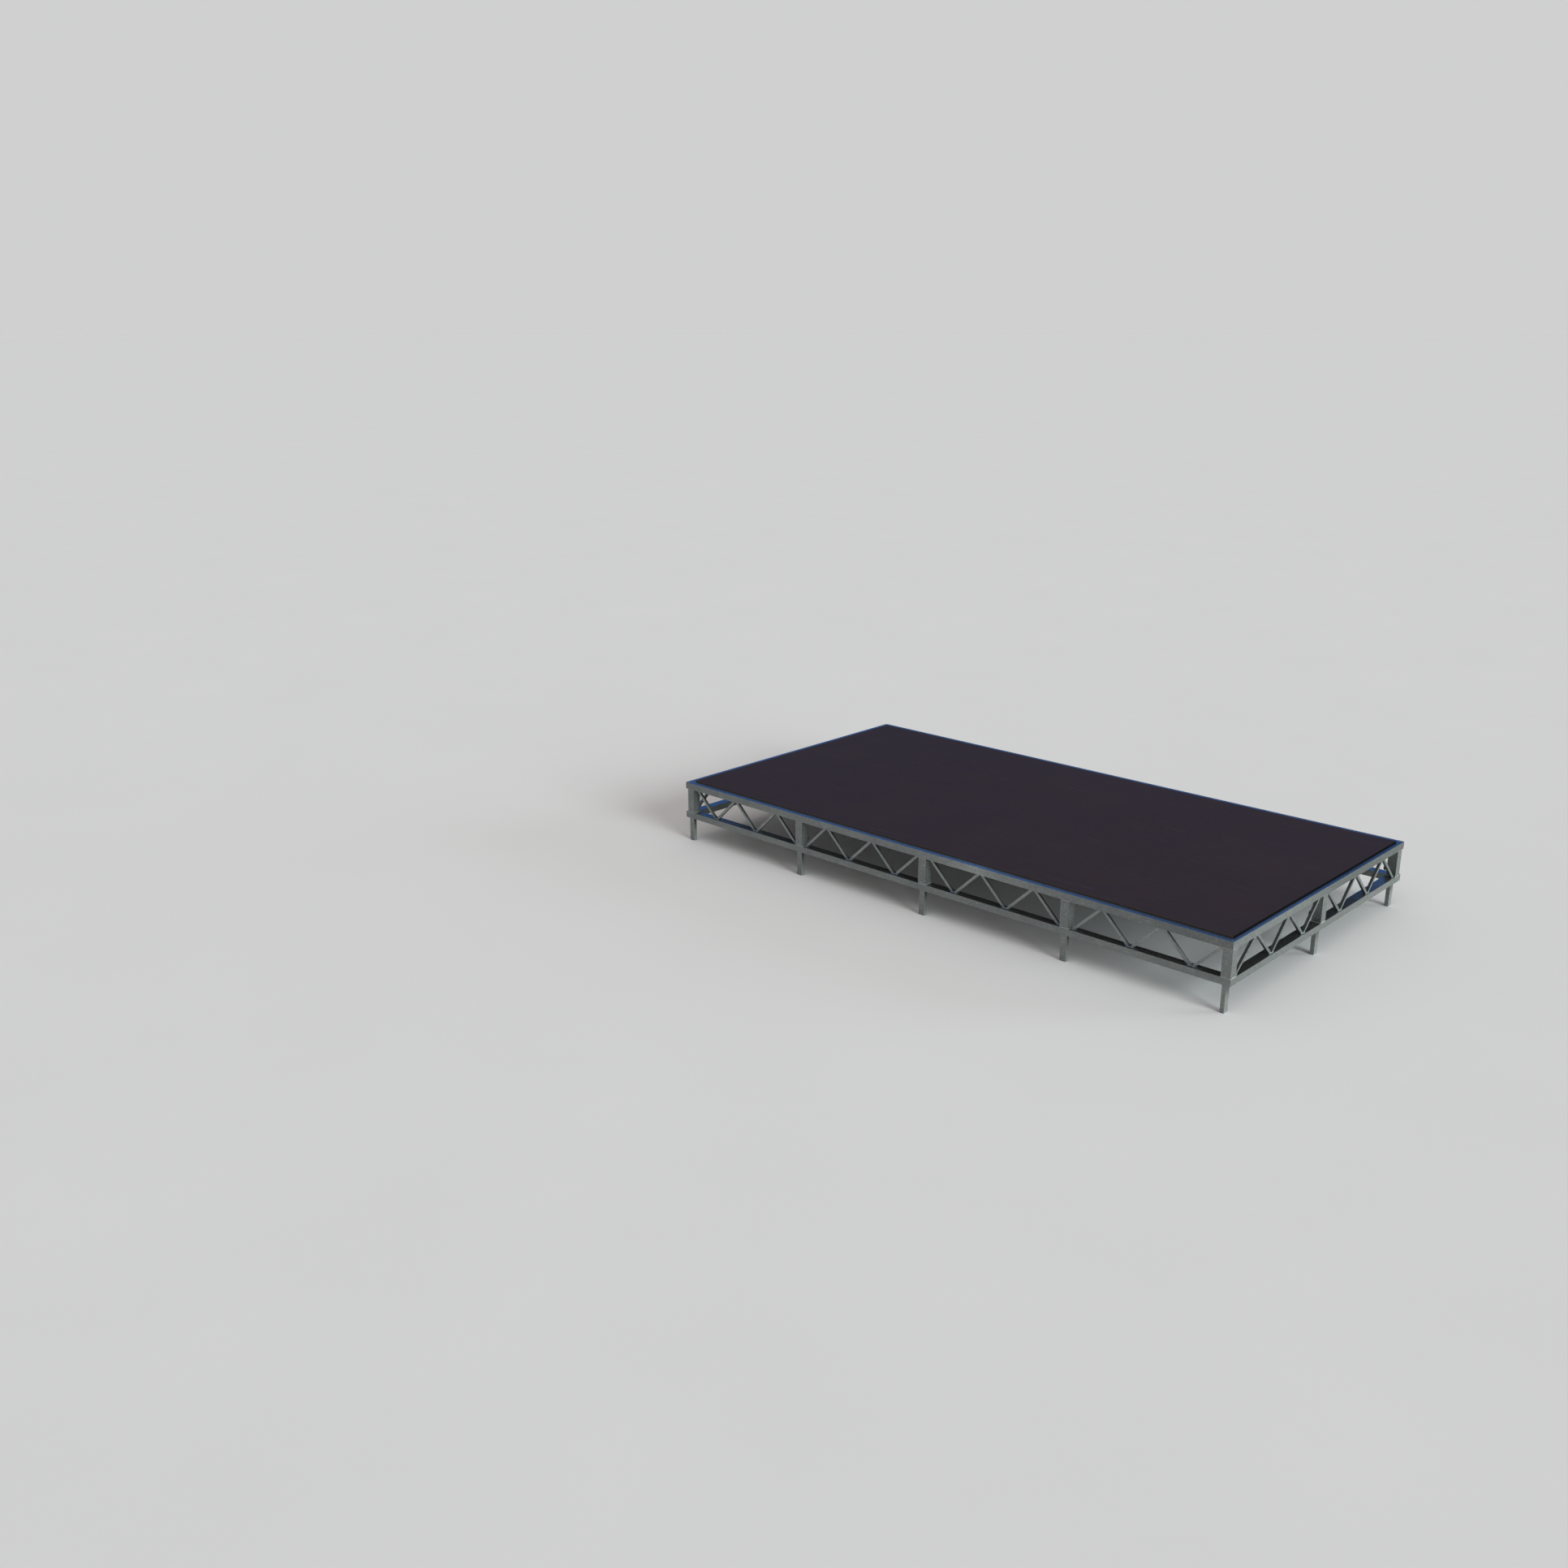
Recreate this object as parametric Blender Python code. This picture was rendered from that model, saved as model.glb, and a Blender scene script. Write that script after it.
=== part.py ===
"""Portable stage platform: a rectangular deck on four lattice side trusses
with twelve telescopic legs.  Metres, +Z up, long side along X, front = -Y,
origin on the ground under the middle of the platform."""
import math
import bpy
import bmesh
from mathutils import Matrix, Vector

# ------------------------------------------------------------------ sizes
MM = 0.001
GAP = 0.3 * MM                 # assembly gap between touching pieces
BITE = 1.0 * MM                # how far welded pieces run into each other

LENGTH = 5000 * MM             # outer length of the truss ring
WIDTH = 2630 * MM              # outer width of the truss ring
RING_TOP = 505 * MM            # ground to top of ring
CHORD_D = 75 * MM              # depth of chord tube, outside to inside
TOP_H = 55 * MM                # height of top chord tube
BOT_H = 50 * MM                # height of bottom chord tube
BOT_Z = 199 * MM               # ground to underside of bottom chord
CHORD_T = 4 * MM               # chord wall

POST = 70 * MM                 # square post
POST_T = 4 * MM
POST_SET = 2.5 * MM            # post face set back from chord face
POST_X = [21.5 * MM, 1255 * MM, 2488 * MM, 3722 * MM, 4927.5 * MM]   # left faces
SIDE_MID_Y = 1286 * MM         # near face of the middle side posts
FAR_Y = 2540 * MM              # near face of the far right corner post

BAR = 20 * MM                  # square lattice bar
BAR_IN_LONG = 27.5 * MM        # chord face to bar face, long trusses
BAR_IN_SIDE = 15 * MM          # chord face to bar face, side trusses
NODE_TOP, NODE_BOT = 14 * MM, 25 * MM   # between bar centres where two bars meet
BARS_PER_BAY = 5

DECK_T = 12 * MM
IN_FRONT, IN_RIGHT, IN_BACK, IN_LEFT = 62 * MM, 38 * MM, 66 * MM, 62 * MM   # ring left bare
PANELS = 4
PANEL_GAP = 0.5 * MM

JOIST_W, JOIST_H, JOIST_T = 40 * MM, 60 * MM, 3 * MM
CLEAT_L, CLEAT_T, CLEAT_H = 48 * MM, 5 * MM, 44 * MM

LEG_W, LEG_D, LEG_T = 50 * MM, 30 * MM, 3 * MM
LEG_IN_LONG = 7.5 * MM         # post face to leg face, long sides
LEG_IN_SIDE = 30 * MM          # post face to leg face, short sides
LEG_TOP = 372 * MM
FOOT_H = 25 * MM
FOOT_PLUG = 22 * MM
HOLE_CLEAR = 0.8 * MM          # leg to guide, each side
GUIDE_H = 24 * MM              # height of the leg guide at the foot of a post
CLAMP_Z = 290 * MM
CLAMP_R = 5 * MM
BOSS_R, BOSS_L = 12 * MM, 11 * MM
KNOB_R, KNOB_L = 18 * MM, 21 * MM

X0, Y0 = -LENGTH / 2, -WIDTH / 2
TOP_Z = RING_TOP - TOP_H       # underside of top chord
BOT_TOP = BOT_Z + BOT_H        # top face of bottom chord

# ------------------------------------------------------------------ scene
for ob in list(bpy.data.objects):
    bpy.data.objects.remove(ob, do_unlink=True)
main = bpy.data.collections.new("stage_platform")
cut = bpy.data.collections.new("cutters")
bpy.context.scene.collection.children.link(main)
bpy.context.scene.collection.children.link(cut)


def material(name, rgb, metal, rough):
    m = bpy.data.materials.new(name)
    m.use_nodes = True
    b = m.node_tree.nodes["Principled BSDF"]
    b.inputs["Base Color"].default_value = (*rgb, 1.0)
    b.inputs["Metallic"].default_value = metal
    b.inputs["Roughness"].default_value = rough
    m.diffuse_color = (*rgb, 1.0)
    return m


ALU = ((0.50, 0.53, 0.51), 1.0, 0.42)
PLY = ((0.055, 0.047, 0.052), 0.0, 0.6)
CAP = ((0.36, 0.37, 0.36), 1.0, 0.5)
KNOB = ((0.02, 0.02, 0.022), 0.0, 0.45)


def new_object(name, bm, look=None, coll=None):
    me = bpy.data.meshes.new(name)
    bmesh.ops.recalc_face_normals(bm, faces=bm.faces[:])
    bm.to_mesh(me)
    bm.free()
    ob = bpy.data.objects.new(name, me)
    (coll or main).objects.link(ob)
    if look:
        me.materials.append(material(name + "_mat", *look))
    if coll is cut:
        ob.hide_render = True
        ob.display_type = "WIRE"
    return ob


def add_box(bm, lo, hi):
    """Axis-aligned solid box between two corners."""
    lo, hi = Vector(lo), Vector(hi)
    c, s = (lo + hi) / 2, hi - lo
    r = bmesh.ops.create_cube(bm, size=1.0)
    for v in r["verts"]:
        v.co = Vector((v.co.x * s.x, v.co.y * s.y, v.co.z * s.z)) + c
    return r["verts"]


def add_cyl(bm, p0, axis, r, length, seg):
    """Cylinder starting at p0 and running along axis."""
    axis = Vector(axis).normalized()
    q = axis.to_track_quat("Z", "Y").to_matrix().to_4x4()
    m = Matrix.Translation(Vector(p0) + axis * (length / 2)) @ q
    return bmesh.ops.create_cone(bm, cap_ends=True, cap_tris=False, segments=seg,
                                 radius1=r, radius2=r, depth=length, matrix=m)["verts"]


def boolean(ob, other, op="DIFFERENCE", self_join=False):
    """Exact Boolean, applied at once."""
    md = ob.modifiers.new("cut", "BOOLEAN")
    md.operation, md.solver, md.object = op, "EXACT", other
    md.use_self = self_join
    dg = bpy.context.evaluated_depsgraph_get()
    me = bpy.data.meshes.new_from_object(ob.evaluated_get(dg))
    ob.modifiers.clear()
    old = ob.data
    name = old.name
    ob.data = me
    bpy.data.meshes.remove(old)
    me.name = name
    bm = bmesh.new()
    bm.from_mesh(me)
    bmesh.ops.remove_doubles(bm, verts=bm.verts[:], dist=1e-6)
    bmesh.ops.dissolve_degenerate(bm, edges=bm.edges[:], dist=1e-6)
    bm.to_mesh(me)
    bm.free()


# ---------------------------------------------------------- side frames
# side: 0 front, 1 right, 2 back, 3 left.  Local frame of a side: x along
# it, y inwards from its outer face.
SIDES = ["front", "right", "back", "left"]


def placed(side, p):
    if side == 0:
        return Vector((X0 + p.x, Y0 + p.y, p.z))
    if side == 2:
        return Vector((X0 + p.x, -Y0 - p.y, p.z))
    if side == 1:
        return Vector((-X0 - p.y, Y0 + p.x, p.z))
    return Vector((X0 + p.y, Y0 + p.x, p.z))


def mitred_prism(bm, side, inset, depth, z0, z1, over):
    """Box along one side of the ring with 45 degree ends.  over > 0 runs it
    past the mitre planes, over < 0 stops it short."""
    L = LENGTH if side in (0, 2) else WIDTH
    verts = add_box(bm, (0, inset, z0), (L, inset + depth, z1))
    for v in verts:
        d = v.co.y
        v.co.x = (d - over) if v.co.x < L / 2 else (L - d + over)
    for v in verts:
        v.co = placed(side, v.co.copy())


def chord_solid(name, side, z0, h):
    bm = bmesh.new()
    mitred_prism(bm, side, 0, CHORD_D, z0, z0 + h, -GAP / 2)
    return new_object(name, bm, ALU)


def chord_bore(name, side, z0, h):
    bm = bmesh.new()
    mitred_prism(bm, side, CHORD_T, CHORD_D - 2 * CHORD_T, z0 + CHORD_T,
                 z0 + h - CHORD_T, 5 * MM)
    return new_object(name + "_bore", bm, None, cut)


# ------------------------------------------------------------------ posts
# (name, near-left corner of post, leg wide along, way the clamp faces,
#  side truss it is welded to)
FRONT_Y = Y0 + POST_SET
BACK_Y = -Y0 - POST_SET - POST
LEFT_X = X0 + POST_SET
RIGHT_X = -X0 - POST_SET - POST
STATIONS = []
for i in range(4):
    STATIONS.append(("front_%d" % (i + 1), X0 + POST_X[i], FRONT_Y, "x", (0, 1), 0))
STATIONS.append(("front_5", X0 + POST_X[4], FRONT_Y, "y", (0, 1), 1))
STATIONS.append(("right_mid", RIGHT_X, Y0 + SIDE_MID_Y, "y", (-1, 0), 1))
for i in range(4):
    STATIONS.append(("back_%d" % (i + 1), X0 + POST_X[i], BACK_Y, "x", (0, -1), 2))
STATIONS.append(("back_5", RIGHT_X, Y0 + FAR_Y, "y", (-1, 0), 1))
STATIONS.append(("left_mid", LEFT_X, Y0 + SIDE_MID_Y, "y", (1, 0), 3))


def leg_centre(px, py, wide, d):
    """Middle of the leg: towards the outer wall of the post on the long
    sides, towards the inner wall on the short ones."""
    cx, cy = px + POST / 2, py + POST / 2
    if wide == "x":
        off = POST / 2 - LEG_IN_LONG - LEG_D / 2
        return cx - d[0] * off, cy - d[1] * off
    off = LEG_IN_SIDE + LEG_D / 2 - POST / 2
    return cx + (off if cx < 0 else -off), cy


def clamp_seat(px, py, wide, d):
    """Point on the post face where the clamp goes in, in line with the leg."""
    cx, cy = px + POST / 2, py + POST / 2
    lx, ly = leg_centre(px, py, wide, d)
    if d[0]:
        return Vector((cx + d[0] * POST / 2, ly, CLAMP_Z))
    return Vector((lx, cy + d[1] * POST / 2, CLAMP_Z))


def leg_half(wide, extra=0.0):
    w, d = LEG_W / 2 + extra, LEG_D / 2 + extra
    return (w, d) if wide == "x" else (d, w)


def add_lattice(bm, side, bays, face_in):
    """Zigzag of square bars.  bays: (start, end, where the first bar starts,
    room left at the start, room left at the end, room left by the outer end
    of the first bar), measured along the side from its low end."""
    z0, z1 = BOT_TOP - BITE, TOP_Z - GAP
    for start, end, first, e_start, e_end, e_first in bays:
        at_top = first == "top"
        nodes = [(NODE_BOT if at_top else NODE_TOP) if k % 2 == 0 else
                 (NODE_TOP if at_top else NODE_BOT) for k in range(BARS_PER_BAY - 1)]
        run = (end - start - e_start - e_end - sum(nodes)) / BARS_PER_BAY
        s = start + e_start
        for k in range(BARS_PER_BAY):
            sa, sb = (start + e_first if k == 0 else s), s + run
            half = BAR / math.sin(math.atan2(TOP_Z - BOT_TOP, sb - sa)) / 2
            za = z1 if at_top else z0
            inset = face_in + (0.02 * MM if k % 2 else 0.0)
            verts = add_box(bm, (-half, inset, z0), (half, inset + BAR, z1))
            for v in verts:
                v.co.x += sa if abs(v.co.z - za) < 1e-6 else sb
            for v in verts:
                v.co = placed(side, v.co.copy())
            if k < BARS_PER_BAY - 1:
                s = sb + nodes[k]
            at_top = not at_top


long_bays = []
for i in range(4):
    last = i == 3
    long_bays.append((POST_X[i] + POST, POST_X[i + 1], "top" if i % 2 == 0 else "bot",
                      (24 if last else 20) * MM, (2 if last else 26) * MM, (24 if last else 20) * MM))
right_bays = [(POST_SET + POST, SIDE_MID_Y, "bot", 58 * MM, 18 * MM, 18 * MM),
              (SIDE_MID_Y + POST, FAR_Y, "top", 38 * MM, 16 * MM, 38 * MM)]
left_bays = [(POST_SET + POST, SIDE_MID_Y, "bot", 58 * MM, 18 * MM, 18 * MM),
             (SIDE_MID_Y + POST, WIDTH - POST_SET - POST, "top", 38 * MM, 16 * MM, 38 * MM)]
LATTICE = [(long_bays, BAR_IN_LONG), (right_bays, BAR_IN_SIDE),
           (long_bays, BAR_IN_LONG), (left_bays, BAR_IN_SIDE)]

# holes for every leg, through both walls of the bottom chord and the guide
bm = bmesh.new()
for _, px, py, wide, d, _ in STATIONS:
    cx, cy = leg_centre(px, py, wide, d)
    hx, hy = leg_half(wide, HOLE_CLEAR)
    add_box(bm, (cx - hx, cy - hy, BOT_Z - 0.02), (cx + hx, cy + hy, BOT_TOP + GUIDE_H + 0.01))
leg_holes = new_object("leg_holes", bm, None, cut)

for side, word in enumerate(SIDES):
    truss = chord_solid("truss_" + word, side, BOT_Z, BOT_H)
    mine = [s for s in STATIONS if s[5] == side]
    # posts and clamp bosses
    bm = bmesh.new()
    for _, px, py, _, d, _ in mine:
        add_box(bm, (px, py, BOT_TOP - BITE), (px + POST, py + POST, TOP_Z - GAP))
    boolean(truss, new_object("posts_" + word, bm, None, cut), "UNION")
    bm = bmesh.new()
    for _, px, py, wide, d, _ in mine:
        D = Vector((d[0], d[1], 0))
        add_cyl(bm, clamp_seat(px, py, wide, d) - D * BITE, D, BOSS_R, BOSS_L + BITE, 16)
    boolean(truss, new_object("bosses_" + word, bm, None, cut), "UNION")
    # lattice bars, alternate ones kept apart so that no operand crosses itself
    for part in (0, 1):
        bm = bmesh.new()
        add_lattice(bm, side, *LATTICE[side])
        bars = []
        bmesh.ops.recalc_face_normals(bm, faces=bm.faces[:])
        seen = set()
        for v in bm.verts:
            if v in seen:
                continue
            group, todo = {v}, [v]
            while todo:
                w = todo.pop()
                for e in w.link_edges:
                    u = e.other_vert(w)
                    if u not in group:
                        group.add(u)
                        todo.append(u)
            seen |= group
            bars.append(group)
        drop = [v for k, g in enumerate(bars) if k % 2 != part for v in g]
        bmesh.ops.delete(bm, geom=drop, context="VERTS")
        boolean(truss, new_object("bars_%s_%d" % (word, part), bm, None, cut), "UNION")
    # hollow the chord, then the posts above the leg guide
    boolean(truss, chord_bore("truss_" + word, side, BOT_Z, BOT_H))
    bm = bmesh.new()
    for _, px, py, _, d, _ in mine:
        add_box(bm, (px + POST_T, py + POST_T, BOT_TOP + GUIDE_H),
                (px + POST - POST_T, py + POST - POST_T, TOP_Z + 0.01))
    boolean(truss, new_object("post_bores_" + word, bm, None, cut))
    boolean(truss, leg_holes)
    bm = bmesh.new()
    for _, px, py, wide, d, _ in mine:
        D = Vector((d[0], d[1], 0))
        add_cyl(bm, clamp_seat(px, py, wide, d) - D * 0.012, D, CLAMP_R + 0.4 * MM, BOSS_L + 0.03, 16)
    boolean(truss, new_object("clamp_holes_" + word, bm, None, cut))
    # room for corner posts that are welded to the neighbouring truss: a seat
    # in the chord, and the last bar coped to the post
    bm = bmesh.new()
    for _, px, py, _, d, owner in STATIONS:
        if owner != side:
            g = GAP
            add_box(bm, (px - g, py - g, BOT_TOP - BITE - g), (px + POST + g, py + POST + g, TOP_Z + 0.01))
    if len(mine) < 5 or side == 0:
        boolean(truss, new_object("post_seats_" + word, bm, None, cut))
    else:
        bm.free()

# ---------------------------------------------- top chords, joist cleats
DECK_X0 = X0 + IN_LEFT
PANEL_L = (LENGTH - IN_LEFT - IN_RIGHT) / PANELS
JOIST_X = [DECK_X0 + PANEL_L * k / 2 for k in range(1, 2 * PANELS)]
JY0, JY1 = Y0 + CHORD_D + GAP, -Y0 - CHORD_D - GAP
JZ1 = RING_TOP
JZ0 = JZ1 - JOIST_H
cleat_z0 = (JZ0 + JZ1) / 2 - CLEAT_H / 2
for side, word in enumerate(SIDES):
    chord = chord_solid("top_chord_" + word, side, TOP_Z, TOP_H)
    if side in (0, 2):
        s = 1 if side == 0 else -1
        wall = s * (Y0 + CHORD_D)             # inner face of this chord
        bm, bm_cut = bmesh.new(), bmesh.new()
        for x in JOIST_X:
            xs = x - JOIST_W / 2 - GAP        # side face of the joist
            ya, yb = sorted((wall - s * BITE, wall + s * CLEAT_L))
            add_box(bm, (xs - CLEAT_L, ya, cleat_z0), (xs, yb, cleat_z0 + CLEAT_H))
            yc, yd = sorted((wall + s * CLEAT_T, wall + s * (CLEAT_L + 0.01)))
            add_box(bm_cut, (xs - CLEAT_L - 0.01, yc, cleat_z0 - 0.01),
                    (xs - CLEAT_T, yd, cleat_z0 + CLEAT_H + 0.01))
        cleats = new_object("cleats_" + word, bm, None, cut)
        boolean(cleats, new_object("cleat_notch_" + word, bm_cut, None, cut))
        boolean(chord, cleats, "UNION")
    boolean(chord, chord_bore("top_chord_" + word, side, TOP_Z, TOP_H))

# ---------------------------------------------------------- cross joists
for k, x in enumerate(JOIST_X):
    bm = bmesh.new()
    add_box(bm, (x - JOIST_W / 2, JY0, JZ0), (x + JOIST_W / 2, JY1, JZ1))
    joist = new_object("cross_joist_%d" % (k + 1), bm, ALU)
    bm = bmesh.new()
    add_box(bm, (x - JOIST_W / 2 + JOIST_T, JY0 - 0.01, JZ0 + JOIST_T),
            (x + JOIST_W / 2 - JOIST_T, JY1 + 0.01, JZ1 - JOIST_T))
    boolean(joist, new_object("joist_bore_%d" % (k + 1), bm, None, cut))

# ------------------------------------------------------------ deck panels
DZ0 = RING_TOP + GAP
DZ1 = DZ0 + DECK_T
for k in range(PANELS):
    xa = DECK_X0 + k * PANEL_L + (PANEL_GAP / 2 if k else 0)
    xb = DECK_X0 + (k + 1) * PANEL_L - (PANEL_GAP / 2 if k < PANELS - 1 else 0)
    bm = bmesh.new()
    add_box(bm, (xa, Y0 + IN_FRONT, DZ0), (xb, -Y0 - IN_BACK, DZ1))
    new_object("deck_panel_%d" % (k + 1), bm, PLY)

# ------------------------------------------------- legs, feet and clamps
for name, px, py, wide, d, _ in STATIONS:
    cx, cy = leg_centre(px, py, wide, d)
    hx, hy = leg_half(wide)
    # leg: rectangular tube
    bm = bmesh.new()
    add_box(bm, (-hx, -hy, FOOT_H), (hx, hy, LEG_TOP))
    leg = new_object("leg_" + name, bm, ALU)
    bm = bmesh.new()
    add_box(bm, (-hx + LEG_T, -hy + LEG_T, FOOT_H - 0.01), (hx - LEG_T, hy - LEG_T, LEG_TOP + 0.01))
    boolean(leg, new_object("leg_bore_" + name, bm, None, cut))
    leg.location = (cx, cy, 0)
    # foot: block with rounded lower edges and a plug up into the tube
    bm = bmesh.new()
    add_box(bm, (-hx, -hy, 0), (hx, hy, FOOT_H - GAP))
    low = [ed for ed in bm.edges if all(abs(v.co.z) < 1e-9 for v in ed.verts)]
    bmesh.ops.bevel(bm, geom=low, offset=6 * MM, segments=3, profile=0.5, affect="EDGES")
    foot = new_object("foot_" + name, bm, CAP)
    bm = bmesh.new()
    q = LEG_T + GAP
    add_box(bm, (-hx + q, -hy + q, FOOT_H - 5 * MM), (hx - q, hy - q, FOOT_H + FOOT_PLUG))
    boolean(foot, new_object("foot_plug_" + name, bm, None, cut), "UNION")
    foot.location = (cx, cy, 0)
    # clamp: screw and scalloped knob, turning in the boss on the post
    D = Vector((d[0], d[1], 0))
    seat = clamp_seat(px, py, wide, d)
    leg_face = Vector((cx, cy, CLAMP_Z)) + D * (hx if d[0] else hy)   # what the screw bears on
    tip = (leg_face - seat).dot(D) + GAP    # measured from the post face
    k0 = BOSS_L + 2 * MM
    profile = [(CLAMP_R - 1.2 * MM, tip), (CLAMP_R, tip + 1.2 * MM), (CLAMP_R, k0),
               (KNOB_R, k0 + 1 * MM), (KNOB_R, k0 + KNOB_L - 4 * MM),
               (KNOB_R - 4 * MM, k0 + KNOB_L)]
    SEG = 20
    bm = bmesh.new()
    rings = []
    for r, z in profile:
        ring = []
        for j in range(SEG):
            a = 2 * math.pi * j / SEG
            f = 1.0 - 0.16 * (0.5 - 0.5 * math.cos(5 * a)) if r > CLAMP_R else 1.0
            ring.append(bm.verts.new((r * f * math.cos(a), r * f * math.sin(a), z)))
        rings.append(ring)
    for ra, rb in zip(rings, rings[1:]):
        for j in range(SEG):
            fc = bm.faces.new((ra[j], ra[(j + 1) % SEG], rb[(j + 1) % SEG], rb[j]))
            fc.smooth = True
    bm.faces.new(list(reversed(rings[0])))
    bm.faces.new(rings[-1])
    for ed in bm.edges:
        if len(ed.link_faces) == 2 and ed.calc_face_angle(0.0) > math.radians(40):
            ed.smooth = False
    knob = new_object("clamp_" + name, bm, KNOB)
    knob.rotation_mode = "QUATERNION"
    knob.rotation_quaternion = D.to_track_quat("Z", "Y")
    knob.location = seat

bpy.context.view_layer.update()
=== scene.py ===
import math
import random
import bpy
import bmesh
from mathutils import Matrix, Vector


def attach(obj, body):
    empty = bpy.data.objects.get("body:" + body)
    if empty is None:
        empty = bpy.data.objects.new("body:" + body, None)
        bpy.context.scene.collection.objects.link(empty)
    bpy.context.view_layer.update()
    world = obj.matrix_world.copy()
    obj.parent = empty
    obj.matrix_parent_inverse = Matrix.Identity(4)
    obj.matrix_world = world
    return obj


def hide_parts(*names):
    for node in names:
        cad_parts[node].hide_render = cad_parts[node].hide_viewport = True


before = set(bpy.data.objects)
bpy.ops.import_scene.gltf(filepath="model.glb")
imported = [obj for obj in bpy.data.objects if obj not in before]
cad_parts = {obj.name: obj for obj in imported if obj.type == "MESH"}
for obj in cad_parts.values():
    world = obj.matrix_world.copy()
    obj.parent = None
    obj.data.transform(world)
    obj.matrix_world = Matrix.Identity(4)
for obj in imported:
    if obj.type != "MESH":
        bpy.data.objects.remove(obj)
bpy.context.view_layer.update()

MM = 0.001
rng = random.Random(7)
scene = bpy.context.scene

# ------------------------------------------------------------------ layout
LENGTH, WIDTH = 5.0, 2.63
X0, Y0 = -LENGTH / 2, -WIDTH / 2
RING_TOP, TOP_Z = 0.505, 0.450
BOT_Z, BOT_TOP = 0.199, 0.249
CHORD_D = 0.075
POST, POST_SET = 0.070, 0.0025
POST_X = [0.0215, 1.255, 2.488, 3.722, 4.9275]
SIDE_MID_Y, FAR_Y = 1.286, 2.540
BAR, BAR_LONG, BAR_SIDE = 0.020, 0.0275, 0.015
NODE_TOP, NODE_BOT = 0.014, 0.025
DECK_T = 0.012
IN_FRONT, IN_RIGHT, IN_BACK, IN_LEFT = 0.062, 0.038, 0.066, 0.062
DZ0 = RING_TOP + 0.0003
DZ1 = DZ0 + DECK_T
CLAMP_Z = 0.290
FRONT_Y, BACK_Y = Y0 + POST_SET, -Y0 - POST_SET - POST
LEFT_X, RIGHT_X = X0 + POST_SET, -X0 - POST_SET - POST
STATIONS = []
for i in range(4):
    STATIONS.append(("front_%d" % (i + 1), X0 + POST_X[i], FRONT_Y, "x", (0, 1), 0))
STATIONS.append(("front_5", X0 + POST_X[4], FRONT_Y, "y", (0, 1), 1))
STATIONS.append(("right_mid", RIGHT_X, Y0 + SIDE_MID_Y, "y", (-1, 0), 1))
for i in range(4):
    STATIONS.append(("back_%d" % (i + 1), X0 + POST_X[i], BACK_Y, "x", (0, -1), 2))
STATIONS.append(("back_5", RIGHT_X, Y0 + FAR_Y, "y", (-1, 0), 1))
STATIONS.append(("left_mid", LEFT_X, Y0 + SIDE_MID_Y, "y", (1, 0), 3))
SIDES = ["front", "right", "back", "left"]
LEG_W, LEG_D, LEG_IN_LONG, LEG_IN_SIDE = 0.050, 0.030, 0.0075, 0.030


def leg_centre(px, py, wide, d):
    cx, cy = px + POST / 2, py + POST / 2
    if wide == "x":
        off = POST / 2 - LEG_IN_LONG - LEG_D / 2
        return cx - d[0] * off, cy - d[1] * off
    off = LEG_IN_SIDE + LEG_D / 2 - POST / 2
    return cx + (off if cx < 0 else -off), cy


def clamp_seat(px, py, wide, d):
    cx, cy = px + POST / 2, py + POST / 2
    lx, ly = leg_centre(px, py, wide, d)
    if d[0]:
        return Vector((cx + d[0] * POST / 2, ly, CLAMP_Z))
    return Vector((lx, cy + d[1] * POST / 2, CLAMP_Z))


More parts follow.
